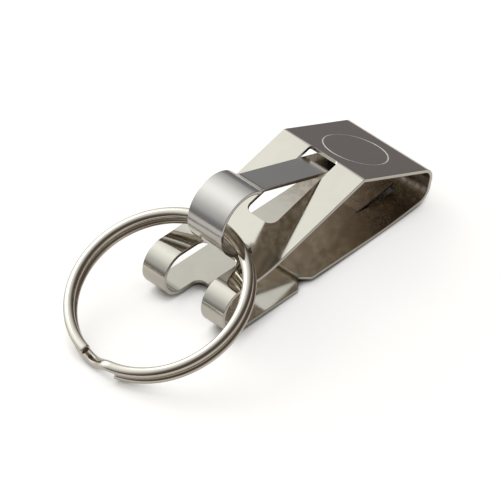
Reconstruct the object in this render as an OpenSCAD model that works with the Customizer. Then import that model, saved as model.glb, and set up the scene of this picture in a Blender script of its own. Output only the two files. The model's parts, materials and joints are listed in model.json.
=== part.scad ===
/* [Clip body] */
// Width of the spring strip that the body is bent from
strip_w = 19; // [16:0.5:24]
// Thickness of the strip
strip_t = 0.64; // [0.5:0.02:0.8]
// Length of the back panel, from its free end to the line on which it rests
back_l = 20.5; // [18:0.5:23]
// Corner cut at the back panel's free end
back_cut = 1.7; // [0.5:0.1:3]
// Length of the bottom plate that lies under the back panel's free end
lap_l = 2; // [1:0.25:4]
// Corner cut at the bottom plate's end
lap_cut = 3.6; // [1:0.2:5]
// Gap between the two lapped ends, where the belt goes in
lap_gap = 0.1; // [0.05:0.05:0.5]

/* [Fold and front panel] */
// Reach of the fold past the back panel's free end
fold_reach = 31.1; // [29:0.2:36]
// Rise of the back panel toward the fold, in degrees
ramp_angle = 6.5; // [4:0.1:10]
// Slope of the fold's flank, in degrees
flank_angle = 76; // [65:1:85]
// Outer bend radius at the foot of the fold
heel_r = 3.2; // [2:0.1:4]
// Outer bend radius at the top of the fold
crown_r = 2.5; // [1.5:0.1:3]
// Slope of the front panel, in degrees
panel_angle = 24.3; // [20:0.1:28]
// Distance of the crease from the back panel's free end
crease_x = 14.2; // [12:0.05:16]
// Height of the crease over the bottom plate's underside
crease_h = 15.29; // [13.5:0.01:17]
// Outer bend radius of the crease
crease_r = 0.9; // [0.7:0.1:2]

/* [Slope, web and fingers] */
// Reach of the finger curls past the back panel's free end
curl_reach = 19.65; // [18:0.05:24]
// Outer radius of the finger curls
curl_r = 4.35; // [3:0.05:5]
// Distance of the web's bend from the back panel's free end
web_x = 9.4; // [8:0.1:11]
// Bend radius between slope and web
web_r = 22; // [10:1:30]
// Width of the window in the slope
window_w = 6.4; // [5:0.1:9]
// Reach of the window past the crease, into the front panel
window_back = 0.25; // [0:0.05:0.5]
// Corner radius at the window's upper end
window_top_r = 0.8; // [0.3:0.1:1.5]
// Length of the window along the slope, from the crease
window_l = 16.45; // [12:0.05:18]
// Corner radius at the window's lower end
window_r = 1.5; // [0.5:0.1:2.5]
// Width of the gap between the two fingers
finger_gap = 8.7; // [8:0.1:11]
// Length of the gap over the curl's top, from the curls' outermost line
gap_top_l = 9.35; // [6:0.05:10]
// Length of the gap in the bottom plate, from the same line
gap_bottom_l = 8.25; // [5:0.05:10]
// Corner radius of the gap's ends
gap_r = 1.5; // [0.5:0.1:3]

/* [Belt tab and stamp] */
// Distance of the belt tab's root from the back panel's free end
tab_x = 19; // [17:0.1:20]
// Width of the belt tab at its root
tab_w = 6.4; // [4:0.2:9]
// Width of the belt tab at its tip
tab_tip_w = 8.1; // [4:0.1:10]
// Length of the belt tab
tab_l = 8.6; // [5:0.1:8.6]
// Rise of the belt tab over the back panel, in degrees
tab_angle = 17; // [14:0.1:19]
// Width of the slit round the belt tab
tab_slit = 0.2; // [0.1:0.05:0.5]
// Distance of the stamp's middle from the crease
stamp_from = 8.4; // [7.5:0.1:9]
// Length of the oval stamp along the panel
stamp_l = 12.5; // [8:0.1:13]
// Width of the oval stamp across the panel
stamp_w = 11.6; // [8:0.1:15]
// Width of the stamp's line
stamp_line = 0.32; // [0.2:0.02:0.5]
// Depth of the stamp's line
stamp_depth = 0.07; // [0.03:0.01:0.15]

/* [Hook spring] */
// Width of the hook spring's tongue
tongue_w = 5.8; // [4:0.1:6]
// Thickness of the hook spring
hook_t = 0.64; // [0.5:0.02:0.8]
// Slope of the tongue, in degrees
tongue_angle = 19; // [18:0.1:20]
// Distance of the tongue's root from the crease, along the front panel
land_from = 9.6; // [9:0.1:11]
// Length of the land that lies flat under the front panel
land_l = 4; // [2:0.1:4.5]
// Gap between the land and the front panel
land_gap = 0.1; // [0.05:0.05:0.3]
// Width of the hook's curl
hook_w = 7.9; // [6:0.1:8.2]
// Outer radius of the hook's curl
hook_r = 6.19; // [5.5:0.01:6.5]
// Distance of the hook curl's axis from the back panel's free end
hook_x = 8.29; // [7:0.01:10]
// Gap between the hook's end and the web
hook_gap = 0.1; // [0.05:0.05:0.3]
// Angle past the curl's lowest line at which the hook ends, in degrees
hook_end = 10; // [0:1:20]
// Bend radius where the tongue turns up into the curl
neck_r = 4; // [3:0.5:8]

/* [Split ring] */
// Outer diameter of the ring
ring_od = 33; // [28:0.1:38]
// Radial width of the ring's wire
wire_w = 1.9; // [1.6:0.1:2.4]
// Thickness of the ring's wire, one turn
wire_t = 1.38; // [1:0.02:1.5]
// Gap between the two turns
turn_gap = 0.44; // [0.42:0.02:0.8]
// Corner cut of the wire's section
wire_cut = 0.35; // [0.2:0.05:0.5]
// Sideways shift of the ring in the hook
ring_shift = 1.2; // [-1.5:0.05:1.5]
// Direction of the ring's wire from the hook curl's axis, in degrees
wire_at = 247; // [225:1:250]
// Gap between the ring's wire and the hook's inner face
ring_gap = 0.1; // [0.05:0.05:0.3]
// Gap between the ring's far side and the rest plane
floor_gap = 0.02; // [0:0.01:0.1]
// Place of the ring's crossover round the ring, in degrees
cross_at = 181; // [120:1:240]
// Half the arc in which the wire changes over, in degrees
cross_arc = 9; // [7:1:12]
// Half the arc between the wire's two ends, in degrees
end_arc = 12; // [12:6:24]

/* [Hidden] */

$fn = 96;
nickel = [0.80, 0.79, 0.76];
steel = [0.66, 0.66, 0.65];
wire_nickel = [0.84, 0.83, 0.80];

// One overrun for all cuts
over = 1;
// Two points of an outline nearer than this are one point
same_point = 0.001;
// Two cuts that share a side differ there by this, so that their faces don't lie in one plane
apart = 0.01;
// Largest turn between two points of a bend, in degrees
arc_step = 5;

// Plane geometry: points are [x, z] in the side view, headings are in degrees
function along(p, heading, d) = p + d * [cos(heading), sin(heading)];
function heading_of(p, q) = atan2(q[1] - p[1], q[0] - p[0]);
function turned(a) = a > 180 ? a - 360 : a < -180 ? a + 360 : a;
function meet(p, a, q, b) =
    along(p, a, ((q[0] - p[0]) * sin(b) - (q[1] - p[1]) * cos(b)) / sin(b - a));

// A bent sheet's outer face is a path of arcs, each [axis, radius, from, to], with straight runs between
function sheet_end(p, heading) = [p, 0, heading - 90, heading - 90];
function corner(before, p, after, r) =
    let (heading = heading_of(before, p), turn = turned(heading_of(p, after) - heading))
    let (start = along(p, heading, -r * tan(abs(turn) / 2)), side = turn > 0 ? 90 : -90)
    [along(start, heading + side, r), r, heading - side, heading - side + turn];
function rail(path, inward) = [
    for (a = path)
        let (steps = ceil(abs(a[3] - a[2]) / arc_step), r = a[1] + (a[3] < a[2] ? inward : -inward))
            for (i = [0:steps]) along(a[0], a[2] + (steps == 0 ? 0 : (a[3] - a[2]) * i / steps), r)
];
function distinct(p) = [for (i = [0:len(p) - 1]) if (i == 0 || norm(p[i] - p[i - 1]) > same_point) p[i]];
function reversed(p) = [for (i = [len(p) - 1:-1:0]) p[i]];

// The body's outer face runs round anticlockwise, from the back panel's free end to the lapped end.
// Its two ends are parallel, and the bottom plate's underside is at zero
back_z = strip_t + lap_gap;
back_end = [0, back_z];
rest = [back_l, back_z];
lap_end = [lap_l, 0];
crease = [crease_x, crease_h];
panel_heading = 180 - panel_angle;
crown_axis = [fold_reach - crown_r,
    crease_h - tan(panel_angle) * (fold_reach - crown_r - crease_x) - crown_r / cos(panel_angle)];
flank_top = along(crown_axis, flank_angle - 90, crown_r);
crown = meet(flank_top, flank_angle, crease, panel_heading);
heel = meet(rest, ramp_angle, flank_top, flank_angle);
web = [-web_x, 2 * curl_r];
curl_x = curl_r - curl_reach;
curl_top = [curl_x, 2 * curl_r];
slope_heading = heading_of(crease, web) + 360;
slope_angle = slope_heading - 180;
rest_r = 12;
body_path = [
    sheet_end(back_end, 0),
    corner(back_end, rest, heel, rest_r),
    corner(rest, heel, crown, heel_r),
    corner(heel, crown, crease, crown_r),
    corner(crown, crease, web, crease_r),
    corner(crease, web, curl_top, web_r),
    [[curl_x, curl_r], curl_r, 90, 270],
    sheet_end(lap_end, 0)
];

// Height of the web's upper face, which bends up from the level top of the curls
web_bend = web_r * tan(slope_angle / 2);
function web_height(x) =
    2 * curl_r + web_r - sqrt(pow(web_r, 2) - pow(x + web_x + web_bend, 2));

// The belt tab leaves the back panel's line at its root
tab_r = 2;
tab_root = [tab_x, back_z];
tab_start = [tab_x - tab_r / 2, back_z];
tab_end = along(tab_root, tab_angle, tab_l);
tab_spread = (tab_tip_w - tab_w) / 2;
tab_path = [
    sheet_end(tab_start, 0),
    corner(tab_start, tab_root, tab_end, tab_r),
    sheet_end(tab_end, tab_angle)
];

// The hook spring's outer face starts at the land's end and runs over the curl
panel_inner = along(crease, panel_heading + 90, strip_t + land_gap);
root = along(panel_inner, panel_heading, -land_from);
land_end = along(root, panel_heading, -land_l);
land_r = 3;
tongue_heading = 180 - tongue_angle;
hook_end_x = hook_r * sin(hook_end) - hook_x;
hook_axis = [-hook_x, web_height(hook_end_x) + hook_gap + hook_r * cos(hook_end)];
axis_drop = (hook_axis[0] - root[0]) * sin(tongue_heading)
    - (hook_axis[1] - root[1]) * cos(tongue_heading);
neck_turn = acos((neck_r - axis_drop) / (neck_r + hook_r));
hook_start = tongue_heading - 90 - neck_turn;
neck_axis = along(hook_axis, hook_start, hook_r + neck_r);
neck_start = along(neck_axis, tongue_heading - 90, -neck_r);
hook_path = [
    sheet_end(land_end, panel_heading),
    corner(land_end, root, neck_start, land_r),
    [neck_axis, neck_r, tongue_heading + 90, hook_start + 180],
    [hook_axis, hook_r, hook_start, 270 + hook_end]
];
shoulder_r = (hook_w - tongue_w) / 4;
shoulder_x = along(hook_axis, hook_start, hook_r)[0];

// The clip lies on its lapped end and on the back panel's far end, so it is tipped a little
lie_angle = atan2(back_z, back_l - lap_l);
lie_up = lap_l * sin(lie_angle);
function lying(p) = [p[0] * cos(lie_angle) + p[1] * sin(lie_angle),
    p[1] * cos(lie_angle) - p[0] * sin(lie_angle) + lie_up];

// The wire: steps round its two turns, its level at each step, and its section
ring_r = (ring_od - wire_w) / 2;
ring_h = 2 * wire_t + turn_gap;
turn_steps = 60;
wire_step = 360 / turn_steps;
wire_steps = 2 * round((360 - end_arc) / wire_step);
level = (wire_t + turn_gap) / 2;
function crossing(u) = u < -cross_arc ? -1 : u > cross_arc ? 1 : sin(90 * u / cross_arc);
function wire_angle(i) = wire_step * (i - wire_steps / 2);
half_w = wire_w / 2;
half_t = wire_t / 2;
wire_section = [
    [half_w, wire_cut - half_t], [half_w, half_t - wire_cut],
    [half_w - wire_cut, half_t], [wire_cut - half_w, half_t],
    [-half_w, half_t - wire_cut], [-half_w, wire_cut - half_t],
    [wire_cut - half_w, -half_t], [half_w - wire_cut, -half_t]
];
function wire_ring(i) = [
    for (s = wire_section)
        let (a = cross_at + wire_angle(i), r = ring_r + s[0])
            [r * cos(a), r * sin(a), level * crossing(wire_angle(i)) + s[1]]
];
sides = len(wire_section);
wire_rings = [for (i = [0:wire_steps]) wire_ring(i)];
turn_apart = [
    for (i = [0:wire_steps], j = [i + 1:1:wire_steps])
        if (wire_angle(j) - wire_angle(i) > 180)
            for (a = wire_rings[i], b = wire_rings[j]) norm(a - b)
];
echo(least_gap_between_the_rings_turns = min(turn_apart));

// The wire lies in the hook's curl as far out as its corners allow across the hook's width,
// and the ring's far side comes down to the rest plane
hook_bore = hook_r - hook_t - ring_gap;
wire_sag = ring_r - sqrt(pow(ring_r, 2) - pow(hook_w / 2 + abs(ring_shift), 2));
wire_way = [cos(wire_at), sin(wire_at)];
ring_reach = 2 * ring_r + half_w;
function tilt_for(place) =
    asin((place[1] - floor_gap) / norm([ring_reach, ring_h / 2])) - atan2(ring_h / 2, ring_reach);
function drop_for(tilt) = min([
    for (s = wire_section, turn = [-1, 1], sag = [0, wire_sag])
        let (c = along([0, 0], tilt, s[0] - sag) + along([0, 0], tilt + 90, turn * level + s[1]))
            sqrt(pow(hook_bore, 2) - c * c + pow(c * wire_way, 2)) - c * wire_way
]);
first_tilt = tilt_for(lying(hook_axis) + (hook_bore - ring_h / 2) * wire_way);
wire_place = lying(hook_axis) + drop_for(first_tilt) * wire_way;
ring_tilt = tilt_for(wire_place);
ring_middle = along(wire_place, ring_tilt, -ring_r);

// A sheet of the given thickness and width, bent along a path in the side view
module bent_sheet(path, t, w) {
    rotate([90, 0, 0]) translate([0, 0, -w / 2]) linear_extrude(w)
        polygon(concat(distinct(rail(path, 0)), reversed(distinct(rail(path, t)))));
}

// Places a cut at a point of the side view, with x along a heading and z square to it
module on_face(p, heading) {
    translate([p[0], 0, p[1]]) rotate([0, -heading, 0]) children();
}

// Lays a piece drawn in the clip's own frame on the rest plane
module lie() {
    translate([0, 0, lie_up]) rotate([0, lie_angle, 0]) children();
}

// A slot's outline along +x, with round corners at its far end
module slot(l, w, r) {
    translate([0, -w / 2]) square([l - r, w]);
    translate([0, r - w / 2]) square([l, w - 2 * r]);
    for (y = [r - w / 2, w / 2 - r]) translate([l - r, y]) circle(r);
}

// Cuts both corners off a sheet's end, which lies at the origin and faces +x
module corner_cuts(cut, low, high) {
    for (side = [-1, 1]) scale([1, side, 1]) translate([0, 0, low]) linear_extrude(high - low)
        polygon([[over, strip_w / 2 - cut - over], [over, strip_w / 2 + over],
            [-cut - over, strip_w / 2 + over]]);
}

// The window's upper end is cut square to the front panel, and the rest square to the slope
module slope_window() {
    on_face(crease, slope_heading) translate([over, 0, -over]) linear_extrude(strip_t + 2 * over)
        slot(window_l - over, window_w, window_r);
    on_face(crease, panel_heading) translate([2 * over, 0, -over]) linear_extrude(strip_t + 2 * over)
        mirror([1, 0]) slot(window_back + 2 * over, window_w - 2 * apart, window_top_r);
}

module finger_gaps() {
    translate([-curl_reach - over, 0, curl_r]) linear_extrude(2 * curl_r)
        slot(gap_top_l + over, finger_gap, gap_r);
    translate([-curl_reach - over, 0, -over]) linear_extrude(curl_r + over)
        slot(gap_bottom_l + over, finger_gap, gap_r);
}

// The belt tab's outline from above, which widens toward its tip, drawn out at its sides and its tip
module tab_outline(reach, side) {
    tip = tab_w / 2 + side + tab_spread * reach / tab_l;
    base = tab_w / 2 + side;
    translate([tab_x, 0]) polygon([[0, -base], [reach, -tip], [reach, tip], [0, base]]);
}

module tab_window() {
    translate([0, 0, -over]) linear_extrude(tab_end[1] + over)
        tab_outline(tab_l + tab_slit, tab_slit);
}

module belt_tab() {
    intersection() {
        bent_sheet(tab_path, strip_t, strip_w);
        translate([0, 0, -over]) linear_extrude(tab_end[1] + 2 * over) {
            tab_outline(tab_l, 0);
            translate([tab_start[0], -tab_w / 2]) square([tab_x - tab_start[0], tab_w]);
        }
    }
}

module stamp_groove() {
    on_face(crease, -panel_angle) translate([stamp_from, 0, -stamp_depth]) linear_extrude(over)
        difference() {
            scale([stamp_l / 2, stamp_w / 2]) circle(1);
            scale([stamp_l / 2 - stamp_line, stamp_w / 2 - stamp_line]) circle(1);
        }
}

module clip_body() {
    color(nickel) lie() {
        difference() {
            bent_sheet(body_path, strip_t, strip_w);
            slope_window();
            finger_gaps();
            tab_window();
            stamp_groove();
            on_face(back_end, 0) rotate([0, 0, 180])
                corner_cuts(back_cut, -lap_gap / 2, strip_t + over);
            on_face(lap_end, 0) corner_cuts(lap_cut, -over, strip_t + lap_gap / 2);
        }
        belt_tab();
    }
}

// Outline of the hook spring seen from above: a narrow tongue and a wider curl with round shoulders
module hook_outline() {
    from = hook_axis[0] - hook_r - over;
    translate([from, -tongue_w / 2]) square([land_end[0] + over - from, tongue_w]);
    translate([from, -hook_w / 2]) square([shoulder_x - shoulder_r - from, hook_w]);
    for (side = [-1, 1]) translate([shoulder_x, side * tongue_w / 2]) {
        translate([-shoulder_r, side * shoulder_r]) circle(shoulder_r);
        difference() {
            translate([-shoulder_r, side > 0 ? 0 : -shoulder_r]) square([2 * shoulder_r, shoulder_r]);
            translate([shoulder_r, side * shoulder_r]) circle(shoulder_r);
        }
    }
}

module hook_spring() {
    color(steel) lie() intersection() {
        bent_sheet(hook_path, hook_t, hook_w);
        linear_extrude(hook_axis[1] + hook_r + over) hook_outline();
    }
}

module split_ring() {
    sheets = [
        for (i = [0:wire_steps - 1], s = [0:sides - 1])
            let (a = i * sides + s, b = i * sides + (s + 1) % sides)
                each [[a, b, b + sides], [a, b + sides, a + sides]]
    ];
    near_cap = [for (s = [1:sides - 2]) [0, s + 1, s]];
    far = wire_steps * sides;
    far_cap = [for (s = [1:sides - 2]) [far, far + s, far + s + 1]];
    color(wire_nickel) translate([ring_middle[0], ring_shift, ring_middle[1]]) rotate([0, -ring_tilt, 0])
        polyhedron([for (ring = wire_rings) each ring], concat(sheets, near_cap, far_cap));
}

clip_body();
hook_spring();
split_ring();
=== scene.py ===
# %% [markdown]
# # A belt key clip and its split ring
#
# The clip is one strip of spring steel, bent so that it slips over a belt from below. A second, narrow
# strip comes out through a window in it and curls over to hold a split ring. All three are nickel
# plated.
#
# A maker cuts such a strip flat, rounds its edges and then bends it, and this file works in the same
# order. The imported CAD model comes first, because it fixes the sizes and says what moves with what. The
# camera, the table and the lamp have their lengths in metres, as Blender counts. The clip's own lengths
# are in millimetres, and MM turns them into metres.

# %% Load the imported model
import json
import math

import bmesh
import bpy
from mathutils import Matrix, Vector
from mathutils.geometry import delaunay_2d_cdt, tessellate_polygon

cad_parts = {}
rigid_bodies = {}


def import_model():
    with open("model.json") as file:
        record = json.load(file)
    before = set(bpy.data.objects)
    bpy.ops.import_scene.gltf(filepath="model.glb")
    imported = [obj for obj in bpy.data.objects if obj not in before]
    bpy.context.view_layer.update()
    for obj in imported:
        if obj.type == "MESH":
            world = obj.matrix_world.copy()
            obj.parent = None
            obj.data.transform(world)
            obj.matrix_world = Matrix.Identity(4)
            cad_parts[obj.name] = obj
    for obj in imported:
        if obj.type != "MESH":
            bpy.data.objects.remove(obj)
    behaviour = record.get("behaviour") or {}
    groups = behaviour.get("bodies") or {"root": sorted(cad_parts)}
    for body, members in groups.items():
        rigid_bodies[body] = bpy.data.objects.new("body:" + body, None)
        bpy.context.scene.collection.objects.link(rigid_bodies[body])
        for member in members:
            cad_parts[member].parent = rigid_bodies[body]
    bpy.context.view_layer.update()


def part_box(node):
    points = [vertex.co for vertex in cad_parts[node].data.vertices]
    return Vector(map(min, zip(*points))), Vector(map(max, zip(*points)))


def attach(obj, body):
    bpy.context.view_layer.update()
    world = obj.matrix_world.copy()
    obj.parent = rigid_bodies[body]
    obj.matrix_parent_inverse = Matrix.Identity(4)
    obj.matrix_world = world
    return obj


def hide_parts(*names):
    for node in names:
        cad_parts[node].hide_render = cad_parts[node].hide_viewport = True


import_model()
MM = 0.001

# %% [markdown]
# ## The camera
#
# The photograph looks down at the clip from its ring end with a long lens, so edges that are parallel on
# the clip stay nearly parallel in the picture. A long focal length from far away gives that. The
# camera's place was worked out from the clip's corners, and its direction is written as two angles, a
# small roll and a distance, which are easier to read and to change than a matrix.

# %% Camera
CAMERA_AZIMUTH = math.radians(-44.49)
CAMERA_ELEVATION = math.radians(41.91)
CAMERA_ROLL = math.radians(-1.59)
CAMERA_DISTANCE = 1.085
CAMERA_AIM = Vector((0, 0, 6 * MM))
PICTURE_PIXELS = 500
PIXELS_PER_MM = 5.942
AIM_PIXELS_RIGHT = 13.8
AIM_PIXELS_UP = 14.5
SENSOR_MM = 36

level = math.cos(CAMERA_ELEVATION)
away = Vector((
    math.sin(CAMERA_AZIMUTH) * level,
    -math.cos(CAMERA_AZIMUTH) * level,
    math.sin(CAMERA_ELEVATION),
))
level_right = Vector((math.cos(CAMERA_AZIMUTH), math.sin(CAMERA_AZIMUTH), 0))
level_up = away.cross(level_right)
right = level_right * math.cos(CAMERA_ROLL) + level_up * math.sin(CAMERA_ROLL)
up = away.cross(right)
eye = CAMERA_AIM + away * CAMERA_DISTANCE
looked_at = CAMERA_AIM - (right * AIM_PIXELS_RIGHT + up * AIM_PIXELS_UP) * MM / PIXELS_PER_MM

camera = bpy.data.objects.new("camera", bpy.data.cameras.new("camera"))
bpy.context.scene.collection.objects.link(camera)
camera.data.sensor_width = SENSOR_MM
camera.data.lens = PIXELS_PER_MM * CAMERA_DISTANCE / MM * SENSOR_MM / PICTURE_PIXELS
backward = (eye - looked_at).normalized()
side = up.cross(backward).normalized()
axes = zip(side, backward.cross(side), backward, eye)
camera.matrix_world = Matrix([*axes, (0, 0, 0, 1)])
bpy.context.scene.camera = camera
print("lens", round(camera.data.lens), "mm, eye", [round(v, 3) for v in eye])

# %% [markdown]
# ## The studio
#
# Bright plating has hardly any colour of its own: what is seen on it is the room. The photograph was
# taken in a dim room with one big soft light, high up behind the clip and a little to the left. So
# the slope, which mirrors the light, is white, the front panel, which mirrors the wall under it, is
# grey, and the ring, which mirrors the whole room, is dark brown with one bright band. The world below
# is that room: a single ramp of brightness over how near a direction is to the light's middle. The
# camera itself sees plain white behind the clip.

# %% World
LIGHT_AZIMUTH, LIGHT_ELEVATION = math.radians(92), math.radians(33)
# Each stop is a cosine between a direction and the light's middle, with the colour seen there.
ROOM = [
    (-1, (0.300, 0.290, 0.280)), (-0.65, (0.200, 0.190, 0.180)), (-0.30, (0.095, 0.066, 0.048)),
    (0, (0.095, 0.066, 0.048)), (0.30, (0.140, 0.118, 0.105)), (0.42, (0.200, 0.190, 0.200)),
    (0.52, (0.280, 0.288, 0.292)), (0.58, (0.470, 0.480, 0.480)), (0.70, (0.620, 0.630, 0.620)),
    (0.80, (0.860, 0.870, 0.860)), (0.89, (1.120, 1.140, 1.130)), (0.94, (1.400, 1.420, 1.420)),
]


def new_node(tree, kind, **values):
    """Adds a node. Values whose names are settings go there, and the others go to its inputs."""
    node = tree.nodes.new(kind)
    for name, value in values.items():
        if hasattr(node, name):
            setattr(node, name, value)
        else:
            node.inputs[name.replace("_", " ")].default_value = value
    return node


def ramp_over(tree, factor, stops):
    """A colour ramp with these (position, colour) stops, driven by a number."""
    ramp = new_node(tree, "ShaderNodeValToRGB")
    while len(ramp.color_ramp.elements) < len(stops):
        ramp.color_ramp.elements.new(1)
    for element, (place, colour) in zip(ramp.color_ramp.elements, stops):
        element.position, element.color = place, (*colour, 1)
    tree.links.new(factor, ramp.inputs["Fac"])
    return ramp.outputs["Color"]


def range_over(tree, value, low, high, to_low=0, to_high=1):
    """A number that runs smoothly from to_low to to_high while value runs from low to high."""
    node = new_node(tree, "ShaderNodeMapRange", interpolation_type="SMOOTHSTEP")
    for name, number in (("From Min", low), ("From Max", high), ("To Min", to_low), ("To Max", to_high)):
        node.inputs[name].default_value = number
    tree.links.new(value, node.inputs["Value"])
    return node.outputs["Result"]


world = bpy.data.worlds.new("room")
bpy.context.scene.world = world
world.use_nodes = True
tree = world.node_tree
tree.nodes.clear()
direction = new_node(tree, "ShaderNodeTexCoord")
toward = new_node(tree, "ShaderNodeVectorMath", operation="DOT_PRODUCT")
toward.inputs[1].default_value = (
    math.cos(LIGHT_AZIMUTH) * math.cos(LIGHT_ELEVATION),
    math.sin(LIGHT_AZIMUTH) * math.cos(LIGHT_ELEVATION),
    math.sin(LIGHT_ELEVATION),
)
tree.links.new(direction.outputs["Generated"], toward.inputs[0])
lit = new_node(tree, "ShaderNodeBackground")
# A colour ramp runs from 0 to 1, so the cosine is halved and moved up by a half.
halved = new_node(tree, "ShaderNodeMath", operation="MULTIPLY_ADD")
halved.inputs[1].default_value = halved.inputs[2].default_value = 0.5
tree.links.new(toward.outputs["Value"], halved.inputs[0])
room_stops = [((cosine + 1) / 2, colour) for cosine, colour in ROOM]
tree.links.new(ramp_over(tree, halved.outputs[0], room_stops), lit.inputs["Color"])
seen = new_node(tree, "ShaderNodeBackground", Color=(1, 1, 1, 1))
ray = new_node(tree, "ShaderNodeLightPath")
either = new_node(tree, "ShaderNodeMixShader")
tree.links.new(ray.outputs["Is Camera Ray"], either.inputs["Fac"])
tree.links.new(lit.outputs[0], either.inputs[1])
tree.links.new(seen.outputs[0], either.inputs[2])
out = new_node(tree, "ShaderNodeOutputWorld")
tree.links.new(either.outputs[0], out.inputs["Surface"])
print("world nodes:", len(tree.nodes))

# %% [markdown]
# The table is a pale round board, more than twice as wide as the picture. The clip and the ring stand
# on it, so it lies just under their lowest points, and it carries their soft shadow. A lift that only
# the camera sees in full brings it up to the white of the picture's background, and mirrors see a share
# of it. Close under the clip, where little open air is round a point, the lift fades and the paper's
# colour goes nearly black, which paints a contact shadow there. The lamp stands about where the room's
# light is, and sharpens the shadow.

# %% Table and lamp
TABLE_R = 0.1
TABLE_DROP = 0.03 * MM
TABLE_SIDES = 96
CAMERA_LIFT, MIRROR_LIFT = 0.74, 0.36
OPEN_REACH = 12 * MM
OPEN_SAMPLES = 8
# How open a point of the table is runs from 0, where it is covered, to 1, where it lies free.
LIFT_STARTS, LIFT_FULL = 0.22, 0.7
# The paper's colour goes dark where the table is covered: a painted contact shadow.
PAPER_WITH_PAINTED_SHADOW = [(0, (0.02, 0.02, 0.02)), (0.35, (0.62, 0.59, 0.55))]
LAMP_POWER, LAMP_SIZE = 0.8, 0.36
LAMP_PLACE = (-0.03, 0.62, 0.46)

bm = bmesh.new()
bmesh.ops.create_circle(bm, cap_ends=True, segments=TABLE_SIDES, radius=TABLE_R)
table_mesh = bpy.data.meshes.new("table")
bm.to_mesh(table_mesh)
bm.free()
table = bpy.data.objects.new("table", table_mesh)
table.location.z = -TABLE_DROP
bpy.context.scene.collection.objects.link(table)

board = bpy.data.materials.new("pale_board")
board.use_nodes = True
tree = board.node_tree
tree.nodes.clear()
ray = new_node(tree, "ShaderNodeLightPath")
for_mirrors = new_node(tree, "ShaderNodeMath", operation="MULTIPLY")
for_mirrors.inputs[1].default_value = MIRROR_LIFT
tree.links.new(ray.outputs["Is Glossy Ray"], for_mirrors.inputs[0])
for_both = new_node(tree, "ShaderNodeMath", operation="MULTIPLY_ADD")
for_both.inputs[1].default_value = CAMERA_LIFT
tree.links.new(ray.outputs["Is Camera Ray"], for_both.inputs[0])
tree.links.new(for_mirrors.outputs[0], for_both.inputs[2])
nearby = new_node(tree, "ShaderNodeAmbientOcclusion", samples=OPEN_SAMPLES, Distance=OPEN_REACH)
where_open = new_node(tree, "ShaderNodeMath", operation="MULTIPLY")
tree.links.new(for_both.outputs[0], where_open.inputs[0])
# The lift fades where the table is covered, which paints shadow under the clip.
fade = range_over(tree, nearby.outputs["AO"], LIFT_STARTS, LIFT_FULL)
tree.links.new(fade, where_open.inputs[1])
paper = new_node(tree, "ShaderNodeBsdfDiffuse")
tree.links.new(ramp_over(tree, nearby.outputs["AO"], PAPER_WITH_PAINTED_SHADOW), paper.inputs["Color"])
glow = new_node(tree, "ShaderNodeEmission", Color=(1, 1, 1, 1))
tree.links.new(where_open.outputs[0], glow.inputs["Strength"])
both = new_node(tree, "ShaderNodeAddShader")
tree.links.new(paper.outputs[0], both.inputs[0])
tree.links.new(glow.outputs[0], both.inputs[1])
out = new_node(tree, "ShaderNodeOutputMaterial")
tree.links.new(both.outputs[0], out.inputs["Surface"])
table_mesh.materials.append(board)

lamp = bpy.data.objects.new("overhead", bpy.data.lights.new("overhead", "AREA"))
lamp.data.energy = LAMP_POWER
lamp.data.size = LAMP_SIZE
lamp.location = LAMP_PLACE
lamp.rotation_euler = lamp.location.to_track_quat("Z", "Y").to_euler()
bpy.context.scene.collection.objects.link(lamp)
print("table at", round(-TABLE_DROP / MM, 3), "mm, lamp at", LAMP_PLACE)

# %% [markdown]
# ## Bends
#
# Seen from the side, each strip is a line of straight runs and round bends. A bend is written as
# its centre, its radius and the two angles between which it runs, all in millimetres and degrees, with
# the sizes of the CAD model. `corner` works out such a bend from three points and a radius. `runs_of`
# then lays the whole line out, so that any length along it has a place.

# %% Side-view path
# A bend has a score line at least every 3 degrees and at least every 0.8 mm.
BEND_STEP = 3
LONGEST_STEP = 0.8
# Two bends whose ends lie nearer than this have no straight run between them.
TOUCHING = 1e-4
TRIES_PER_RUN = 1000


def on_arc(centre, radius, degrees):
    """The point of a circle at an angle from the first axis."""
    angle = math.radians(degrees)
    return Vector((centre[0] + radius * math.cos(angle), centre[1] + radius * math.sin(angle)))


def corner(before, point, after, radius):
    """The round bend that touches both runs at a corner."""
    way_in = (Vector(point) - Vector(before)).normalized()
    way_out = (Vector(after) - Vector(point)).normalized()
    turn = math.degrees(math.atan2(way_in.x * way_out.y - way_in.y * way_out.x, way_in.dot(way_out)))
    side = math.copysign(1, turn)
    start = Vector(point) - way_in * radius * math.tan(math.radians(abs(turn)) / 2)
    centre = start + Vector((-way_in.y, way_in.x)) * radius * side
    first = math.degrees(math.atan2(start.y - centre.y, start.x - centre.x))
    return centre, radius, first, first + turn


def runs_of(arcs):
    """Lays out bends and the straight runs between them, with where each starts and its length."""
    runs, length, last = [], 0, None
    for centre, radius, first, end in arcs:
        start = on_arc(centre, radius, first)
        if last is not None and (start - last).length > TOUCHING:
            runs.append((length, (start - last).length, last, (start - last).normalized()))
            length += (start - last).length
        if radius:
            size = radius * math.radians(abs(end - first))
            runs.append((length, size, centre, (radius, first, end)))
            length += size
        last = on_arc(centre, radius, end)
    return runs


def place(runs, along, depth):
    """The side-view place of a point at a length along the path and a depth into the metal."""
    start, size, origin, shape = next((r for r in runs if along <= r[0] + r[1]), runs[-1])
    if isinstance(shape, Vector):
        return origin + shape * (along - start) + Vector((-shape.y, shape.x)) * depth
    radius, first, end = shape
    degrees = first + (end - first) * (along - start) / size
    return on_arc(origin, radius - math.copysign(depth, end - first), degrees)


def length_at(runs, point):
    """The length along the path at which it passes nearest to a point."""
    point = Vector(point)
    found = []
    for start, size, _, _ in runs:
        for share in range(TRIES_PER_RUN + 1):
            along = start + size * share / TRIES_PER_RUN
            found.append(((place(runs, along, 0) - point).length, along))
    return min(found)[1]


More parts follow.
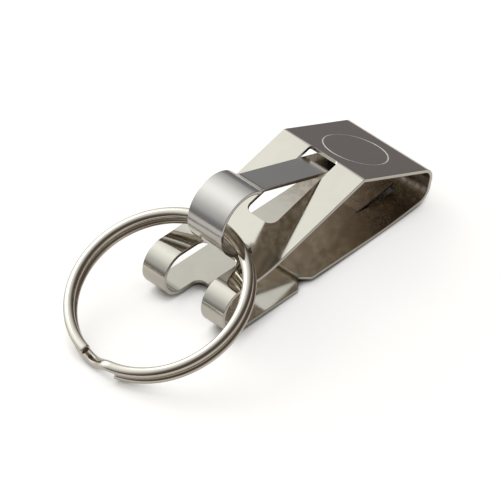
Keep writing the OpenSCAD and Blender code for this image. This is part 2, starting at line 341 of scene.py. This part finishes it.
def score_lines(runs):
    """Where the blank is scored across, so that each bend gets its steps."""
    lines = []
    for start, size, _, shape in runs:
        if not isinstance(shape, Vector):
            steps = math.ceil(max(abs(shape[2] - shape[1]) / BEND_STEP, size / LONGEST_STEP))
            lines += [start + size * i / steps for i in range(steps + 1)]
    return lines


# %% [markdown]
# ## The clip's body line
#
# The strip starts at the back panel's free end, runs to the fold that goes over the belt's edge, comes
# back as the front panel, turns down at the crease into the slope, levels out in the web, curls
# round as two fingers and ends under its own start. The curl is drawn as two square corners whose bends
# meet.

# %% Body path
STRIP_T = 0.64
STRIP_W = 19
BACK_END, BACK_REST = (0, 0.74), (20.5, 0.74)
HEEL, CROWN, CREASE, WEB = (30.127, 1.837), (31.531, 7.465), (14.2, 15.29), (-9.4, 8.7)
CURL_TOP, CURL_FOOT, LAP_END = (-19.65, 8.7), (-19.65, 0), (2, 0)
BODY_CORNERS = [BACK_END, BACK_REST, HEEL, CROWN, CREASE, WEB, CURL_TOP, CURL_FOOT, LAP_END]
BODY_RADII = [90, 3.2, 2.5, 0.9, 22, 4.35, 4.35]

body_runs = runs_of(
    [(BACK_END, 0, 0, 0)]
    + [corner(*BODY_CORNERS[i : i + 3], radius) for i, radius in enumerate(BODY_RADII)]
    + [(LAP_END, 0, 0, 0)]
)
body_length = body_runs[-1][0] + body_runs[-1][1]
print("strip to cut for the body:", round(body_length, 2), "mm")

# %% [markdown]
# ## Cutting a blank
#
# The blank is drawn flat, with the length along the strip as x and its width as y. A constrained
# Delaunay triangulation takes the outline, the holes and the score lines together and gives clean
# faces between them, which a Boolean on a curved solid would not. Faces that fall into a hole are
# dropped, the sheet gets its thickness, and its edges are rounded with a small bevel, as a barrel
# deburrs them. Those round edges give the fine bright and dark lines along the strip's rim.

# %% Cut a flat blank
EDGE_ROUND = 0.09
EDGE_STEPS = 3
# The rim is every edge that turns by more than this beside a wall, whose normal hardly rises.
SHARP = math.radians(30)
UPRIGHT = 0.1
# Points nearer than this count as one.
WELD = 1e-5
# Which faces the triangulation gives back: those between the drawn lines, with holes left out.
FACES_BETWEEN_LINES = 3


def inside(point, loop):
    """Whether a point lies in a closed outline, by counting the edges to its right."""
    x, y = point
    hit = False
    for (ax, ay), (bx, by) in zip(loop, loop[1:] + loop[:1]):
        if (ay > y) != (by > y) and x < ax + (bx - ax) * (y - ay) / (by - ay):
            hit = not hit
    return hit


def cut_blank(outline, holes, lines, thick, pressed=()):
    """A flat plate with round edges. Each pressed loop is pushed into the outer face by its depth."""
    points, edges, dips = [], [], {}
    for loop, dip in [(outline, 0)] + [(hole, 0) for hole in holes] + list(pressed):
        first = len(points)
        points += [Vector(p) for p in loop]
        edges += [(first + i, first + (i + 1) % len(loop)) for i in range(len(loop))]
        dips.update({first + i: dip for i in range(len(loop))})
        # A pressed loop is tied to the one before it, so that the faces between them run across.
        if loop in [later for later, _ in pressed[1:]]:
            edges += [(first + i - len(loop), first + i) for i in range(len(loop))]
    reach = max(abs(y) for _, y in outline) + 1
    for along in lines:
        edges.append((len(points), len(points) + 1))
        points += [Vector((along, -reach)), Vector((along, reach))]
    flat_points, _, faces, sources, _, _ = delaunay_2d_cdt(
        points, edges, [], FACES_BETWEEN_LINES, WELD
    )
    kept = []
    for face in faces:
        corners = [flat_points[i] for i in face]
        first = tessellate_polygon([[p.to_3d() for p in corners]])[0]
        middle = sum((corners[i] for i in first), Vector((0, 0))) / 3
        if inside(middle, outline) and not any(inside(middle, hole) for hole in holes):
            kept.append(face)
    bm = bmesh.new()
    pressed_in = bm.verts.layers.float.new("pressed")
    outer = [
        bm.verts.new((*p, max([dips.get(i, 0) for i in source], default=0)))
        for p, source in zip(flat_points, sources)
    ]
    for vert in outer:
        vert[pressed_in] = float(vert.co.z > 0)
    inner = [bm.verts.new((*p, thick)) for p in flat_points]
    walked = {(a, b) for face in kept for a, b in zip(face, face[1:] + face[:1])}
    for face in kept:
        bm.faces.new([inner[i] for i in face])
        bm.faces.new([outer[i] for i in reversed(face)])
    for a, b in walked:
        if (b, a) not in walked:
            bm.faces.new((outer[a], outer[b], inner[b], inner[a]))
    bmesh.ops.delete(bm, geom=[v for v in bm.verts if not v.link_faces], context="VERTS")
    bmesh.ops.recalc_face_normals(bm, faces=bm.faces)
    rim = [
        e
        for e in bm.edges
        if e.calc_face_angle(0) > SHARP and any(abs(f.normal.z) < UPRIGHT for f in e.link_faces)
    ]
    bmesh.ops.bevel(
        bm, geom=rim, offset=EDGE_ROUND, segments=EDGE_STEPS,
        profile=0.5, affect="EDGES", loop_slide=True,
    )
    return bm


# %% [markdown]
# ## Bending a blank
#
# Bending moves each point of the plate to its place along the side-view path. The flat place is kept
# as a UV map, so that the rolling lines of the sheet later follow it round every bend. Normals
# weighted by face size keep the flat runs flat and the bends smooth, which bright plating needs most.

# %% Bend it
LIE_ANGLE = math.radians(2.29061)
LIE_UP = 0.0799
UV_MM = 10
NORMAL_WEIGHT = 80
# A point this near to a face of the sheet counts as on it.
FLUSH = 0.005


def lie(x, y, z):
    """Lays a point of the clip's own frame on the table, on which the clip is tipped a little."""
    return Vector((
        x * math.cos(LIE_ANGLE) + z * math.sin(LIE_ANGLE),
        y,
        z * math.cos(LIE_ANGLE) - x * math.sin(LIE_ANGLE) + LIE_UP,
    )) * MM


def finish_mesh(bm, name):
    """Turns a mesh in progress into a smooth object."""
    mesh = bpy.data.meshes.new(name)
    bm.to_mesh(mesh)
    bm.free()
    mesh.shade_smooth()
    piece = bpy.data.objects.new(name, mesh)
    bpy.context.scene.collection.objects.link(piece)
    weigh = piece.modifiers.new("even shading", "WEIGHTED_NORMAL")
    weigh.weight = NORMAL_WEIGHT
    return piece


def bend_blank(bm, name, fold, is_dull_and_shaded):
    """Bends a plate with fold and marks where the given test says so: there the plate is made rougher and
    painted with shade. Both take along, across and depth.
    """
    worked = bm.loops.layers.uv.new("worked")
    within = bm.verts.layers.float.new("inside")
    for face in bm.faces:
        for loop in face.loops:
            along, across, depth = loop.vert.co
            loop[worked].uv = (along / UV_MM, (across + depth) / UV_MM)
    for vert in bm.verts:
        vert[within] = float(is_dull_and_shaded(*vert.co))
        vert.co = fold(*vert.co)
    return finish_mesh(bm, name)


# %% [markdown]
# ## The clip's blank
#
# Its corners are cut off at both ends. The slope has a window for the hook spring with round corners,
# which begins in the front panel, just short of the crease. One slot parts the two fingers, and a
# narrow slit on three sides frees the belt tab, which widens toward its tip and is then lifted out of
# the back panel. The front panel carries a pressed oval, a plain field with a fine line round it.

# %% Body outline and holes
BACK_CUT, LAP_CUT = 1.7, 3.6
WINDOW_W, WINDOW_BACK, WINDOW_L, WINDOW_TOP_R, WINDOW_R = 6.4, 0.25, 16.45, 0.8, 1.5
FINGER_GAP, GAP_R = 8.7, 1.5
GAP_TOP, GAP_FOOT = (-10.3, 8.75), (-11.4, 0)
TAB_W, TAB_TIP_W, TAB_L, TAB_SLIT, TAB_X = 6.4, 8.1, 8.6, 0.2, 19
STAMP_FROM, STAMP_L, STAMP_W, STAMP_LINE, STAMP_DEPTH = 8.4, 12.5, 11.6, 0.32, 0.07


def round_slot(low, high, width, low_r, high_r, steps=12):
    """An outline along x with round corners, whose radius may be zero."""
    half, loop = width / 2, []
    for x, y, radius, first in (
        (high, -half, high_r, 270),
        (high, half, high_r, 0),
        (low, half, low_r, 90),
        (low, -half, low_r, 180),
    ):
        if not radius:
            loop.append((x, y))
            continue
        centre = (x - math.copysign(radius, x - (low + high) / 2), y - math.copysign(radius, y))
        loop += [tuple(on_arc(centre, radius, first + 90 * i / steps)) for i in range(steps + 1)]
    return loop


half_w = STRIP_W / 2
body_outline = [
    (BACK_CUT, -half_w), (body_length - LAP_CUT, -half_w), (body_length, LAP_CUT - half_w),
    (body_length, half_w - LAP_CUT), (body_length - LAP_CUT, half_w), (BACK_CUT, half_w),
    (0, half_w - BACK_CUT), (0, BACK_CUT - half_w),
]
crease_at = length_at(body_runs, CREASE)
window_start = crease_at - WINDOW_BACK
window = round_slot(window_start, crease_at + WINDOW_L, WINDOW_W, WINDOW_TOP_R, WINDOW_R)
gap_from, gap_to = length_at(body_runs, GAP_TOP), length_at(body_runs, GAP_FOOT)
finger_slot = round_slot(gap_from, gap_to, FINGER_GAP, GAP_R, GAP_R)
tab_tip, slit_tip = TAB_X + TAB_L, TAB_X + TAB_L + TAB_SLIT


def tab_side(along):
    """Half the tab's width at a length along the strip."""
    return (TAB_W + (TAB_TIP_W - TAB_W) * max(0, along - TAB_X) / TAB_L) / 2


tab_edge = [(x, tab_side(x)) for x in (TAB_X, tab_tip)]
slit_edge = [(x, tab_side(x) + TAB_SLIT) for x in (TAB_X, slit_tip)]
slit = [(x, -y) for x, y in slit_edge] + slit_edge[::-1]
slit += tab_edge + [(x, -y) for x, y in tab_edge[::-1]]
print("window from", round(window_start, 2), "mm")
print("finger gap from", round(gap_from, 2), "to", round(gap_to, 2), "mm")

# %% Pressed oval
OVAL_STEPS = 96
# The line's section: shares of its width and of its depth.
OVAL_PROFILE = [(0, 0), (0.12, 0.6), (0.3, 1), (0.7, 1), (0.88, 0.6), (1, 0)]
panel_way = (Vector(CREASE) - Vector(CROWN)).normalized()
stamp_at = length_at(body_runs, Vector(CREASE) - panel_way * STAMP_FROM)


def oval(inset):
    """The oval's outline, drawn in by an inset."""
    half_l, half_wide = STAMP_L / 2 - inset, STAMP_W / 2 - inset
    turns = [2 * math.pi * i / OVAL_STEPS for i in range(OVAL_STEPS)]
    return [(stamp_at + half_l * math.cos(t), half_wide * math.sin(t)) for t in turns]


pressed_oval = [(oval(share * STAMP_LINE), dip * STAMP_DEPTH) for share, dip in OVAL_PROFILE]
print("oval", STAMP_L, "by", STAMP_W, "mm at", round(stamp_at, 2))

# %% [markdown]
# The belt tab bends away from the back panel at its root, so it has a short path of its own, which
# leaves the body's path just where the slit starts. Points of the blank inside the slit follow the
# tab's path, and all others follow the body's.

# %% Bend the body
TAB_ANGLE, TAB_R = 17, 2
# The panel's direction at the tab is taken over this length.
TAB_HEEL = 0.01
tab_root = place(body_runs, TAB_X, 0)
tab_way = (tab_root - place(body_runs, TAB_X - TAB_HEEL, 0)).normalized()
tab_bend = math.degrees(math.atan2(tab_way.y, tab_way.x)) - 90, TAB_ANGLE - 90
tab_axis = tab_root + Vector((-tab_way.y, tab_way.x)) * TAB_R
tab_far = on_arc(on_arc(tab_axis, TAB_R, tab_bend[1]), TAB_L, TAB_ANGLE)
tab_runs = runs_of([
    (tab_root - tab_way * TAB_X, 0, 0, 0),
    (tab_axis, TAB_R, *tab_bend),
    (tab_far, 0, 0, 0),
])


def fold_body(along, across, depth):
    """Where a point of the flat body lies once the strip is bent."""
    on_tab = TAB_X < along < slit_tip and abs(across) < tab_side(along) + TAB_SLIT / 2
    x, z = place(tab_runs if on_tab else body_runs, along, depth)
    return lie(x, across, z)


web_at = length_at(body_runs, WEB)


def dull_and_shaded_on_body(along, across, depth):
    """The inner face up to the web, and the walls of the slit round the tab: both are made rougher and
    painted with shade.
    """
    in_slit = TAB_X < along < slit_tip + FLUSH and abs(across) < tab_side(along) + TAB_SLIT + FLUSH
    return depth > STRIP_T - FLUSH and along <= web_at or in_slit and depth > FLUSH


# A line across the window and one across the oval keep any face from going all the way round them.
cross_lines = [window_start + WINDOW_L / 2, stamp_at]
body_lines = score_lines(body_runs) + score_lines(tab_runs) + cross_lines
body_blank = cut_blank(body_outline, [window, finger_slot, slit], body_lines, STRIP_T, pressed_oval)
body = bend_blank(body_blank, "bent_strip", fold_body, dull_and_shaded_on_body)
print("body:", len(body.data.polygons), "faces")

# %% [markdown]
# ## The hook spring
#
# The hook is a leaf of the same sheet. It starts under the front panel, comes out through the window as
# a narrow tongue, turns up a little at the neck and then curls over and back down to the web. Round
# shoulders widen it where the curl begins.

# %% Hook path and blank
TONGUE_W, HOOK_W, SHOULDER_R = 5.8, 7.9, 0.525
LAND_END, ROOT = (26.291, 9.019), (22.645, 10.665)
NECK_AXIS, NECK_R = (-1.674, 23.269), 4
HOOK_AXIS, HOOK_R, HOOK_START, HOOK_END = (-8.29, 15.519), 6.19, 49.514, 280
ROOT_R, TONGUE_ANGLE = 3, 19
ROUND_STEPS = 6
neck_first = 270 - TONGUE_ANGLE
hook_runs = runs_of([
    (LAND_END, 0, 0, 0),
    corner(LAND_END, ROOT, on_arc(NECK_AXIS, NECK_R, neck_first), ROOT_R),
    (NECK_AXIS, NECK_R, neck_first, HOOK_START + 180),
    (HOOK_AXIS, HOOK_R, HOOK_START, HOOK_END),
])
hook_length = hook_runs[-1][0] + hook_runs[-1][1]
shoulder_at = hook_runs[-1][0]
# The shoulder is round seen from above, where the sheet slants, so it is longer along the sheet.
shoulder_l = SHOULDER_R / math.sin(math.radians(HOOK_START))


def shoulder():
    """The upper edge from tongue to curl: a hollow quarter, then a round one."""
    tongue, curl = TONGUE_W / 2, HOOK_W / 2
    hollow, bulge = [], []
    for i in range(ROUND_STEPS + 1):
        turn = math.radians(90 * i / ROUND_STEPS)
        early, late = 1 - math.sin(turn), 1 - math.cos(turn)
        hollow.append((shoulder_at - shoulder_l * early, tongue + SHOULDER_R * late))
        bulge.append((shoulder_at + shoulder_l * late, curl - SHOULDER_R * early))
    return hollow + bulge[1:]


upper_edge = [(0, TONGUE_W / 2)] + shoulder() + [(hook_length, HOOK_W / 2)]
hook_outline = [(x, -y) for x, y in upper_edge] + upper_edge[::-1]


def fold_hook(along, across, depth):
    """Where a point of the flat leaf lies once it is bent."""
    x, z = place(hook_runs, along, depth)
    return lie(x, across, z)


def dull_and_shaded_on_hook(along, across, depth):
    """The whole inner face, which is made rougher and painted with shade."""
    return depth > STRIP_T - FLUSH


hook_blank = cut_blank(hook_outline, [], score_lines(hook_runs), STRIP_T)
hook = bend_blank(hook_blank, "hook_leaf", fold_hook, dull_and_shaded_on_hook)
print("hook:", len(hook.data.polygons), "faces, strip", round(hook_length, 2), "mm")

# %% [markdown]
# ## The split ring
#
# The ring is one wire of nearly two turns that lie on each other and change over at one place. A curve
# with a bevel would do, but its section would twist on the way round, so each section is placed here
# by a formula: round the ring by an angle, and up or down by its turn's level. The wire is pressed
# flat, so its section lies between an oval and a rectangle, and its two ends are rounded off.

# %% Ring
RING_OD, WIRE_W, WIRE_T, TURN_GAP = 33, 1.9, 1.38, 0.44
CROSS_AT, CROSS_ARC, WIRE_HALF = 181, 9, 348
RING_MIDDLE = (-23.4747, 1.2, 7.38102)
RING_TILT = math.radians(20.8233)
WIRE_STEP = 1.5
SECTION_SIDES = 28
# A power of 2 gives an oval section, and a higher one comes nearer to a rectangle.
SECTION_POWER = 2.15
ring_r = (RING_OD - WIRE_W) / 2
turn_level = (WIRE_T + TURN_GAP) / 2


def wire_section():
    """The wire's outline, as (outward, upward) points round it, and the length round it at each."""
    points = []
    for i in range(SECTION_SIDES):
        turn = 2 * math.pi * i / SECTION_SIDES
        shares = math.cos(turn), math.sin(turn)
        out, rise = [math.copysign(abs(share) ** (2 / SECTION_POWER), share) for share in shares]
        points.append(Vector((out * WIRE_W / 2, rise * WIRE_T / 2)))
    lengths = [0]
    for a, b in zip(points, points[1:] + points[:1]):
        lengths.append(lengths[-1] + (a - b).length)
    return points, lengths


def ring_point(turn, out, rise):
    """A point of the wire at an angle from the changeover, in the part's frame."""
    crossed = max(-CROSS_ARC, min(CROSS_ARC, turn))
    high = turn_level * math.sin(math.radians(90 * crossed / CROSS_ARC)) + rise
    angle = math.radians(CROSS_AT + turn)
    x, y = (ring_r + out) * math.cos(angle), (ring_r + out) * math.sin(angle)
    return Vector((
        RING_MIDDLE[0] + x * math.cos(RING_TILT) - high * math.sin(RING_TILT),
        RING_MIDDLE[1] + y,
        RING_MIDDLE[2] + x * math.sin(RING_TILT) + high * math.cos(RING_TILT),
    )) * MM


# Each stop is an angle round the wire and the section's size there. It is smaller at the two ends.
END_ROUND = 0.12
end_turn = math.degrees(END_ROUND / ring_r)
steps = round(2 * WIRE_HALF / WIRE_STEP)
whole = 2 * WIRE_HALF - 2 * end_turn
stops = [(-WIRE_HALF, 1 - 2 * END_ROUND), (-WIRE_HALF + end_turn / 3, 1 - END_ROUND / 2)]
stops += [(-WIRE_HALF + end_turn + whole * i / steps, 1) for i in range(steps + 1)]
stops += [(-turn, size) for turn, size in stops[1::-1]]
section, section_lengths = wire_section()
bm = bmesh.new()
worked = bm.loops.layers.uv.new("worked")
rows = []
for turn, size in stops:
    rows.append([bm.verts.new(ring_point(turn, size * p.x, size * p.y)) for p in section])
for i in range(len(rows) - 1):
    for j in range(len(section)):
        k = (j + 1) % len(section)
        face = bm.faces.new((rows[i][j], rows[i][k], rows[i + 1][k], rows[i + 1][j]))
        for loop, (row, spot) in zip(face.loops, ((i, j), (i, j + 1), (i + 1, j + 1), (i + 1, j))):
            along = math.radians(stops[row][0]) * ring_r
            loop[worked].uv = (along / UV_MM, section_lengths[spot] / UV_MM)
bm.faces.new(rows[0])
bm.faces.new(rows[-1])
bmesh.ops.recalc_face_normals(bm, faces=bm.faces)
ring = finish_mesh(bm, "ring_wire")
wire_length = math.radians(2 * WIRE_HALF) * ring_r
print("ring:", len(ring.data.polygons), "faces, wire", round(wire_length), "mm")

# %% [markdown]
# ## Bright nickel
#
# Nickel plate is a mirror with a faint warm tint. What makes it look real is small: lines left by the
# rolling mill along the strip, hair scratches from use, and a thin haze where hands have been.
# All three pieces share these, so each is a node group with its own inputs, and each material sets how
# strong they are. The groups put out only heights, masks and colours, and the shader stays in
# the material.

# %% Node group: rolling lines
def new_group(name, ins, outs):
    """A shader node group with number or colour sockets, and its input and output nodes."""
    tree = bpy.data.node_groups.new(name, "ShaderNodeTree")
    for socket, kind, value in ins:
        made = tree.interface.new_socket(socket, in_out="INPUT", socket_type=kind)
        if value is not None:
            made.default_value = value
    for socket, kind in outs:
        tree.interface.new_socket(socket, in_out="OUTPUT", socket_type=kind)
    return tree, tree.nodes.new("NodeGroupInput"), tree.nodes.new("NodeGroupOutput")


FLOAT, COLOUR = "NodeSocketFloat", "NodeSocketColor"
LINE_SHOWS, LINE_FULL = 0.6, 0.74


def build_rolling_lines():
    """Fine lines along the strip: noise that is stretched along U and tight along V."""
    tree, put_in, put_out = new_group(
        "rolling lines",
        [("Fineness", FLOAT, 60), ("Stretch", FLOAT, 0.02)],
        [("Height", FLOAT), ("Mask", FLOAT)],
    )
    link = tree.links.new
    spot = new_node(tree, "ShaderNodeUVMap", uv_map="worked")
    squeeze = new_node(tree, "ShaderNodeCombineXYZ", Y=1)
    link(put_in.outputs["Stretch"], squeeze.inputs["X"])
    stretched = new_node(tree, "ShaderNodeVectorMath", operation="MULTIPLY")
    link(spot.outputs["UV"], stretched.inputs[0])
    link(squeeze.outputs[0], stretched.inputs[1])
    lines = new_node(tree, "ShaderNodeTexNoise", Detail=3, Roughness=0.6)
    link(stretched.outputs[0], lines.inputs["Vector"])
    link(put_in.outputs["Fineness"], lines.inputs["Scale"])
    link(lines.outputs["Fac"], put_out.inputs["Height"])
    link(range_over(tree, lines.outputs["Fac"], LINE_SHOWS, LINE_FULL), put_out.inputs["Mask"])
    return tree


rolling_lines = build_rolling_lines()
print("sockets:", [s.name for s in rolling_lines.interface.items_tree])

# %% Node group: hair scratches
SCRATCH_TURNS = 17, -38, 71
SCRATCH_STRETCH = 0.12, 6, 1
# Noise above this height is a scratch, and a higher amount lowers it.
SCRATCH_FEWEST, SCRATCH_MOST = 0.78, 0.66
SCRATCH_CRISP = 16


def build_hair_scratches():
    """Sparse thin scratches in three directions, each a stretched noise cut off near its top."""
    tree, put_in, put_out = new_group(
        "hair scratches", [("Scale", FLOAT, 9), ("Amount", FLOAT, 0.5)], [("Mask", FLOAT)]
    )
    link = tree.links.new
    spot = new_node(tree, "ShaderNodeUVMap", uv_map="worked")
    limit = range_over(tree, put_in.outputs["Amount"], 0, 1, SCRATCH_FEWEST, SCRATCH_MOST)
    total = None
    for degrees in SCRATCH_TURNS:
        turned = new_node(tree, "ShaderNodeMapping")
        turned.inputs["Rotation"].default_value[2] = math.radians(degrees)
        turned.inputs["Scale"].default_value = SCRATCH_STRETCH
        link(spot.outputs["UV"], turned.inputs["Vector"])
        streaks = new_node(tree, "ShaderNodeTexNoise", Detail=1, Roughness=0.4)
        link(turned.outputs[0], streaks.inputs["Vector"])
        link(put_in.outputs["Scale"], streaks.inputs["Scale"])
        above = new_node(tree, "ShaderNodeMath", operation="SUBTRACT")
        link(streaks.outputs["Fac"], above.inputs[0])
        link(limit, above.inputs[1])
        sharp = new_node(tree, "ShaderNodeMath", operation="MULTIPLY", use_clamp=True)
        sharp.inputs[1].default_value = SCRATCH_CRISP
        link(above.outputs[0], sharp.inputs[0])
        if total is None:
            total = sharp
            continue
        most = new_node(tree, "ShaderNodeMath", operation="MAXIMUM")
        link(total.outputs[0], most.inputs[0])
        link(sharp.outputs[0], most.inputs[1])
        total = most
    link(total.outputs[0], put_out.inputs["Mask"])
    return tree


hair_scratches = build_hair_scratches()
print("scratch nodes:", len(hair_scratches.nodes))

# %% Node group: handling haze
FILM_SHOWS, FILM_FULL = 0.4, 0.7
# A Mix node has sockets of one name for each kind of data, so its colour sockets go by number.
MIX_A, MIX_B, MIX_RESULT = 6, 7, 2


def mix_colours(tree, factor, first, second):
    """A colour that goes from the first to the second as the factor goes from 0 to 1."""
    blend = new_node(tree, "ShaderNodeMix", data_type="RGBA")
    tree.links.new(factor, blend.inputs["Factor"])
    tree.links.new(first, blend.inputs[MIX_A])
    tree.links.new(second, blend.inputs[MIX_B])
    return blend.outputs[MIX_RESULT]


def build_handling_haze():
    """A soft cloudy film: it dulls the plating in patches and warms its colour a little."""
    tree, put_in, put_out = new_group(
        "handling haze",
        [
            ("Clean", COLOUR, None), ("Hazed", COLOUR, None),
            ("Scale", FLOAT, 220), ("Sharpness", FLOAT, 0.5),
        ],
        [("Color", COLOUR), ("Mask", FLOAT)],
    )
    link = tree.links.new
    spot = new_node(tree, "ShaderNodeTexCoord")
    cloud = new_node(tree, "ShaderNodeTexNoise", Detail=4, Distortion=0.4)
    link(spot.outputs["Object"], cloud.inputs["Vector"])
    link(put_in.outputs["Scale"], cloud.inputs["Scale"])
    link(put_in.outputs["Sharpness"], cloud.inputs["Roughness"])
    film = range_over(tree, cloud.outputs["Fac"], FILM_SHOWS, FILM_FULL)
    tinted = mix_colours(tree, film, put_in.outputs["Clean"], put_in.outputs["Hazed"])
    link(tinted, put_out.inputs["Color"])
    link(film, put_out.inputs["Mask"])
    return tree


handling_haze = build_handling_haze()
print("haze nodes:", len(handling_haze.nodes))

# %% [markdown]
# Inside the bends the plate is painted a dark, brownish, mottled colour, which is painted shade, and it
# is made rougher there. The pressed line is made rougher too, and painted pale as a fine painted
# highlight. Both places were marked on the mesh when the blanks were cut and bent.

# %% Node group: dull places
MOTTLE_SHOWS, MOTTLE_FULL, MOTTLE_LEAST = 0.36, 0.62, 0.6


def build_dull_and_shaded_places():
    """Reads the marks on the mesh and gives the plate's colour there, with painted shade inside the bends
    and a painted highlight on the pressed line, and a mask for each mark.
    """
    tree, put_in, put_out = new_group(
        "dull and shaded places",
        [
            ("Bright", COLOUR, None), ("Painted Shade", COLOUR, None), ("Line", COLOUR, None),
            ("Mottle", FLOAT, 900), ("Starts", FLOAT, 0), ("Full", FLOAT, 1),
        ],
        [("Color", COLOUR), ("Inside", FLOAT), ("Pressed", FLOAT)],
    )
    link = tree.links.new
    spot = new_node(tree, "ShaderNodeTexCoord")
    cloud = new_node(tree, "ShaderNodeTexNoise", Detail=4, Roughness=0.6)
    link(spot.outputs["Object"], cloud.inputs["Vector"])
    link(put_in.outputs["Mottle"], cloud.inputs["Scale"])
    along = new_node(tree, "ShaderNodeUVMap", uv_map="worked")
    length = new_node(tree, "ShaderNodeSeparateXYZ")
    link(along.outputs["UV"], length.inputs[0])
    further = new_node(tree, "ShaderNodeMapRange", interpolation_type="SMOOTHSTEP")
    link(length.outputs["X"], further.inputs["Value"])
    link(put_in.outputs["Starts"], further.inputs["From Min"])
    link(put_in.outputs["Full"], further.inputs["From Max"])
    marked = new_node(tree, "ShaderNodeAttribute", attribute_name="inside")
    reached = new_node(tree, "ShaderNodeMath", operation="MULTIPLY")
    link(marked.outputs["Fac"], reached.inputs[0])
    link(further.outputs["Result"], reached.inputs[1])
    mottled = new_node(tree, "ShaderNodeMath", operation="MULTIPLY")
    link(reached.outputs[0], mottled.inputs[0])
    patchy = range_over(tree, cloud.outputs["Fac"], MOTTLE_SHOWS, MOTTLE_FULL, MOTTLE_LEAST, 1)
    link(patchy, mottled.inputs[1])
    # Inside the bends the bright plate is mixed toward a dark colour: painted shade.
    plate = mix_colours(tree, mottled.outputs[0], put_in.outputs["Bright"], put_in.outputs["Painted Shade"])
    # The pressed line is painted pale here, a painted highlight.
    line = new_node(tree, "ShaderNodeAttribute", attribute_name="pressed")
    link(mix_colours(tree, line.outputs["Fac"], plate, put_in.outputs["Line"]), put_out.inputs["Color"])
    link(mottled.outputs[0], put_out.inputs["Inside"])
    link(line.outputs["Fac"], put_out.inputs["Pressed"])
    return tree


dull_and_shaded_places = build_dull_and_shaded_places()
print("groups:", [group.name for group in bpy.data.node_groups])

# %% [markdown]
# Each material adds up its roughness from the clean plate, the haze, the rolling lines, the scratches
# and the dull places, and lets the rolling lines and scratches tilt the surface through one Bump node.
# The clip is the brightest, the hook is brushed a little duller, and the ring's wire is warmer.

# %% Nickel material
# Painted shade inside the bends: a dark brown that stands in for the shade there.
PAINTED_SHADE_PLATE = (0.30, 0.24, 0.18, 1)
# Painted highlight on the pressed oval line: a pale colour that stands in for the light it catches.
PAINTED_LINE_HIGHLIGHT = (0.95, 0.92, 0.88, 1)
HAZE_ROUGHER, LINES_ROUGHER, SCRATCHES_ROUGHER = 0.03, 0.05, 0.10
DULL_ROUGHER, PRESSED_ROUGHER = 0.25, 0.45
SCRATCH_SINKS = 0.6


def weighted_sum(tree, base, parts):
    """base plus each mask times its share, as one number."""
    total = None
    for mask, share in parts:
        part = new_node(tree, "ShaderNodeMath", operation="MULTIPLY_ADD")
        part.inputs[1].default_value = share
        tree.links.new(mask, part.inputs[0])
        if total is None:
            part.inputs[2].default_value = base
        else:
            tree.links.new(total.outputs[0], part.inputs[2])
        total = part
    return total.outputs[0]


def nickel(name, clean, hazed, base, haze_scale, lines_deep, scratches, dull_and_shade_from=(0, 1)):
    """Nickel plate. base is its roughness where clean, and lines_deep its rolling lines' depth in mm.

    The last argument gives the lengths along the strip at which its inner side starts to be rougher and
    painted with shade, and where that is full. Lengths below zero make all of that side rougher and
    shaded.
    """
    material = bpy.data.materials.new(name)
    material.use_nodes = True
    tree = material.node_tree
    shader = tree.nodes["Principled BSDF"]
    shader.inputs["Metallic"].default_value = 1
    haze, lines, hairs, dull = [
        new_node(tree, "ShaderNodeGroup", node_tree=group)
        for group in (handling_haze, rolling_lines, hair_scratches, dull_and_shaded_places)
    ]
    haze.inputs["Clean"].default_value = (*clean, 1)
    haze.inputs["Hazed"].default_value = (*hazed, 1)
    haze.inputs["Scale"].default_value = haze_scale
    hairs.inputs["Amount"].default_value = scratches
    tree.links.new(haze.outputs["Color"], dull.inputs["Bright"])
    # Painted shade inside the bends, and a painted highlight on the pressed line.
    dull.inputs["Painted Shade"].default_value = PAINTED_SHADE_PLATE
    dull.inputs["Line"].default_value = PAINTED_LINE_HIGHLIGHT
    for socket, mm in zip(("Starts", "Full"), dull_and_shade_from):
        dull.inputs[socket].default_value = mm / UV_MM
    tree.links.new(dull.outputs["Color"], shader.inputs["Base Color"])
    rough = weighted_sum(tree, base, [
        (haze.outputs["Mask"], HAZE_ROUGHER),
        (lines.outputs["Mask"], LINES_ROUGHER),
        (hairs.outputs["Mask"], SCRATCHES_ROUGHER),
        (dull.outputs["Inside"], DULL_ROUGHER),
        (dull.outputs["Pressed"], PRESSED_ROUGHER),
    ])
    tree.links.new(rough, shader.inputs["Roughness"])
    relief = weighted_sum(tree, 0, [
        (lines.outputs["Height"], 1),
        (hairs.outputs["Mask"], -SCRATCH_SINKS),
    ])
    bump = new_node(tree, "ShaderNodeBump", Strength=1, Distance=lines_deep * MM)
    tree.links.new(relief, bump.inputs["Height"])
    tree.links.new(bump.outputs["Normal"], shader.inputs["Normal"])
    return material


# The clip's inner face gets painted shade from 8 mm to 24 mm along, and the hook's whole inner face gets
# it.
clip_nickel = nickel(
    "bright clip nickel", clean=(0.66, 0.63, 0.56), hazed=(0.64, 0.61, 0.54),
    base=0.08, haze_scale=240, lines_deep=0.0008, scratches=0.3, dull_and_shade_from=(8, 24),
)
hook_nickel = nickel(
    "brushed hook nickel", clean=(0.67, 0.65, 0.62), hazed=(0.65, 0.63, 0.60),
    base=0.16, haze_scale=260, lines_deep=0.0012, scratches=0.35, dull_and_shade_from=(-2, -1),
)
ring_nickel = nickel(
    "bright wire nickel", clean=(0.69, 0.65, 0.58), hazed=(0.66, 0.62, 0.54),
    base=0.10, haze_scale=300, lines_deep=0.0006, scratches=0.4,
)
print("materials:", [m.name for m in bpy.data.materials])

# %% [markdown]
# ## Put together
#
# Each piece takes its finish, stands for the CAD node of the same shape and moves with that node's
# body: the hook lifts on the clip, and the ring swings in the hook.

# %% Join pieces to the frame
for piece, finish, slot, node, body_name in (
    (body, clip_nickel, "clip_nickel", "clip_body", "clip"),
    (hook, hook_nickel, "hook_nickel", "hook_spring", "hook"),
    (ring, ring_nickel, "ring_nickel", "split_ring", "ring"),
):
    piece.data.materials.append(finish)
    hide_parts(node)
    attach(piece, body_name)
    low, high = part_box(node)
    print(piece.name, "on", body_name, [round(v / MM, 2) for v in (*low, *high)])

# %% View settings
bpy.context.scene.view_settings.view_transform = "Standard"
